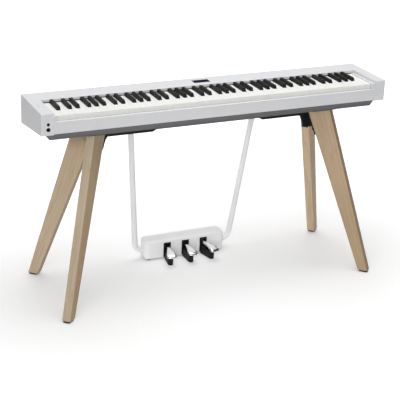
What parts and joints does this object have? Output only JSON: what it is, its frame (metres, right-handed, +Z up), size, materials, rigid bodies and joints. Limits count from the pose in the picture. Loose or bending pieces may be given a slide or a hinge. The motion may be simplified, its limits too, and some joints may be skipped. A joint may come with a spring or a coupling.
{
  "type": "digital piano on stand",
  "caption": "Slim white digital piano with a full keyboard on a splayed four-leg timber stand, with a three-pedal unit hung on two bent tubes.",
  "frame": {"origin": "floor level, in the middle of the rectangle between the four feet", "axes": "+Z up, +X to the player's right along the keyboard, +Y away from the player towards the rear panel"},
  "size_m": [1.34, 0.4626, 0.75],
  "materials": {
    "case_white": "white moulded case plastic, fine satin texture",
    "key_ivory": "warm white key plastic, simulated ivory grain",
    "key_black": "matte black key plastic, simulated ebony grain",
    "tray_grey": "mid grey moulded plastic",
    "black_steel": "black powder coat",
    "ash_wood": "pale ash with a clear matt lacquer, grain along the leg",
    "white_steel": "white powder coat",
    "pedal_chrome": "polished plating",
    "black_plastic": "black moulded plastic",
    "black_rubber": "soft black rubber",
    "bright_steel": "plain bright steel",
    "red_felt": "dark red felt",
    "grey_felt": "grey felt",
    "circuit_board": "green solder mask",
    "display_glass": "dark navy glossy window",
    "pilot_lens": "pale blue lens"
  },
  "bodies": {
    "piano_and_stand": {"top_panel": "case_white", "left_end_block": "case_white", "right_end_block": "case_white", "key_slip": "case_white", "rear_panel": "case_white", "pedal_housing": "case_white", "bottom_tray": "tray_grey", "key_bed": "tray_grey", "left_stand_bracket": "black_steel", "right_stand_bracket": "black_steel", "leg_bolts": "black_steel", "underside_screws": "black_steel", "cross_beam": "black_steel", "leg_blocks": "ash_wood", "front_left_leg": "ash_wood", "front_right_leg": "ash_wood", "rear_left_leg": "ash_wood", "rear_right_leg": "ash_wood", "left_pedal_tube": "white_steel", "right_pedal_tube": "white_steel", "tube_flanges": "white_steel", "pedal_guides": "black_plastic", "headphone_jacks": "black_plastic", "power_inlet": "black_plastic", "speaker_drivers": "black_plastic", "pedal_base": "black_plastic", "foot_glides": "black_rubber", "base_pads": "black_rubber", "key_contact_strip": "black_rubber", "key_pivot_rod": "bright_steel", "pedal_axles": "bright_steel", "pedal_springs": "bright_steel", "red_key_felt": "red_felt", "key_stop_felt": "grey_felt", "circuit_boards": "circuit_board", "key_sensor_board": "circuit_board", "display_window": "display_glass", "pilot_light_strip": "pilot_lens"},
    "key_C4": {"key_C4": "key_ivory"},
    "key_Cs4": {"key_Cs4": "key_black"},
    "key_D4": {"key_D4": "key_ivory"},
    "key_Ds4": {"key_Ds4": "key_black"},
    "key_E4": {"key_E4": "key_ivory"},
    "key_F4": {"key_F4": "key_ivory"},
    "key_Fs4": {"key_Fs4": "key_black"},
    "key_G4": {"key_G4": "key_ivory"},
    "key_Gs4": {"key_Gs4": "key_black"},
    "key_A4": {"key_A4": "key_ivory"},
    "key_As4": {"key_As4": "key_black"},
    "key_B4": {"key_B4": "key_ivory"},
    "key_C5": {"key_C5": "key_ivory"},
    "bass_white_keys": {"bass_white_keys": "key_ivory"},
    "bass_black_keys": {"bass_black_keys": "key_black"},
    "treble_white_keys": {"treble_white_keys": "key_ivory"},
    "treble_black_keys": {"treble_black_keys": "key_black"},
    "soft_pedal": {"soft_pedal": "pedal_chrome"},
    "sostenuto_pedal": {"sostenuto_pedal": "pedal_chrome"},
    "damper_pedal": {"damper_pedal": "pedal_chrome"},
    "power_button": {"power_button": "case_white"},
    "pitch_wheel": {"pitch_wheel": "case_white"}
  },
  "joints": [
    {"name": "key_C4_press", "type": "hinge", "parent": "piano_and_stand", "child": "key_C4", "pos_m": [-0.059, 0.0824, 0.7245], "axis": [1, 0, 0], "range_deg": [0, 2.7], "stiffness_Nm_per_rad": 0.57, "springref_deg": -17.19},
    {"name": "key_Cs4_press", "type": "hinge", "parent": "piano_and_stand", "child": "key_Cs4", "pos_m": [-0.0498, 0.0824, 0.7245], "axis": [1, 0, 0], "range_deg": [0, 2.7], "stiffness_Nm_per_rad": 0.57, "springref_deg": -17.19},
    {"name": "key_D4_press", "type": "hinge", "parent": "piano_and_stand", "child": "key_D4", "pos_m": [-0.0354, 0.0824, 0.7245], "axis": [1, 0, 0], "range_deg": [0, 2.7], "stiffness_Nm_per_rad": 0.57, "springref_deg": -17.19},
    {"name": "key_Ds4_press", "type": "hinge", "parent": "piano_and_stand", "child": "key_Ds4", "pos_m": [-0.021, 0.0824, 0.7245], "axis": [1, 0, 0], "range_deg": [0, 2.7], "stiffness_Nm_per_rad": 0.57, "springref_deg": -17.19},
    {"name": "key_E4_press", "type": "hinge", "parent": "piano_and_stand", "child": "key_E4", "pos_m": [-0.0118, 0.0824, 0.7245], "axis": [1, 0, 0], "range_deg": [0, 2.7], "stiffness_Nm_per_rad": 0.57, "springref_deg": -17.19},
    {"name": "key_F4_press", "type": "hinge", "parent": "piano_and_stand", "child": "key_F4", "pos_m": [0.0118, 0.0824, 0.7245], "axis": [1, 0, 0], "range_deg": [0, 2.7], "stiffness_Nm_per_rad": 0.57, "springref_deg": -17.19},
    {"name": "key_Fs4_press", "type": "hinge", "parent": "piano_and_stand", "child": "key_Fs4", "pos_m": [0.02, 0.0824, 0.7245], "axis": [1, 0, 0], "range_deg": [0, 2.7], "stiffness_Nm_per_rad": 0.57, "springref_deg": -17.19},
    {"name": "key_G4_press", "type": "hinge", "parent": "piano_and_stand", "child": "key_G4", "pos_m": [0.0354, 0.0824, 0.7245], "axis": [1, 0, 0], "range_deg": [0, 2.7], "stiffness_Nm_per_rad": 0.57, "springref_deg": -17.19},
    {"name": "key_Gs4_press", "type": "hinge", "parent": "piano_and_stand", "child": "key_Gs4", "pos_m": [0.0472, 0.0824, 0.7245], "axis": [1, 0, 0], "range_deg": [0, 2.7], "stiffness_Nm_per_rad": 0.57, "springref_deg": -17.19},
    {"name": "key_A4_press", "type": "hinge", "parent": "piano_and_stand", "child": "key_A4", "pos_m": [0.059, 0.0824, 0.7245], "axis": [1, 0, 0], "range_deg": [0, 2.7], "stiffness_Nm_per_rad": 0.57, "springref_deg": -17.19},
    {"name": "key_As4_press", "type": "hinge", "parent": "piano_and_stand", "child": "key_As4", "pos_m": [0.0744, 0.0824, 0.7245], "axis": [1, 0, 0], "range_deg": [0, 2.7], "stiffness_Nm_per_rad": 0.57, "springref_deg": -17.19},
    {"name": "key_B4_press", "type": "hinge", "parent": "piano_and_stand", "child": "key_B4", "pos_m": [0.0826, 0.0824, 0.7245], "axis": [1, 0, 0], "range_deg": [0, 2.7], "stiffness_Nm_per_rad": 0.57, "springref_deg": -17.19},
    {"name": "key_C5_press", "type": "hinge", "parent": "piano_and_stand", "child": "key_C5", "pos_m": [0.1062, 0.0824, 0.7245], "axis": [1, 0, 0], "range_deg": [0, 2.7], "stiffness_Nm_per_rad": 0.57, "springref_deg": -17.19},
    {"name": "bass_white_keys_press", "type": "hinge", "parent": "piano_and_stand", "child": "bass_white_keys", "pos_m": [-0.3422, 0.0824, 0.7245], "axis": [1, 0, 0], "range_deg": [0, 2.7], "stiffness_Nm_per_rad": 13.11, "springref_deg": -17.19},
    {"name": "bass_black_keys_press", "type": "hinge", "parent": "piano_and_stand", "child": "bass_black_keys", "pos_m": [-0.3386, 0.0824, 0.7245], "axis": [1, 0, 0], "range_deg": [0, 2.7], "stiffness_Nm_per_rad": 9.12, "springref_deg": -17.19},
    {"name": "treble_white_keys_press", "type": "hinge", "parent": "piano_and_stand", "child": "treble_white_keys", "pos_m": [0.3658, 0.0824, 0.7245], "axis": [1, 0, 0], "range_deg": [0, 2.7], "stiffness_Nm_per_rad": 11.97, "springref_deg": -17.19},
    {"name": "treble_black_keys_press", "type": "hinge", "parent": "piano_and_stand", "child": "treble_black_keys", "pos_m": [0.3427, 0.0824, 0.7245], "axis": [1, 0, 0], "range_deg": [0, 2.7], "stiffness_Nm_per_rad": 8.55, "springref_deg": -17.19},
    {"name": "soft_pedal_press", "type": "hinge", "parent": "piano_and_stand", "child": "soft_pedal", "pos_m": [-0.07011, 0.20785, 0.05], "axis": [0.989, -0.1478, 0], "range_deg": [0, 5.2], "stiffness_Nm_per_rad": 12, "springref_deg": -14.32},
    {"name": "sostenuto_pedal_press", "type": "hinge", "parent": "piano_and_stand", "child": "sostenuto_pedal", "pos_m": [0, 0.2084, 0.05], "axis": [1, 0, 0], "range_deg": [0, 5.2], "stiffness_Nm_per_rad": 12, "springref_deg": -14.32},
    {"name": "damper_pedal_press", "type": "hinge", "parent": "piano_and_stand", "child": "damper_pedal", "pos_m": [0.0671, 0.20731, 0.05], "axis": [0.9781, 0.2079, 0], "range_deg": [0, 5.2], "stiffness_Nm_per_rad": 12, "springref_deg": -14.32},
    {"name": "power_button_press", "type": "slide", "parent": "piano_and_stand", "child": "power_button", "axis": [0, 0, -1], "range_m": [0, 0.0015], "stiffness_N_per_m": 800, "springref_m": -0.002},
    {"name": "pitch_wheel_turn", "type": "hinge", "parent": "piano_and_stand", "child": "pitch_wheel", "pos_m": [-0.648, -0.0526, 0.719], "axis": [1, 0, 0], "range_deg": [-35, 35], "stiffness_Nm_per_rad": 0.04}
  ]
}
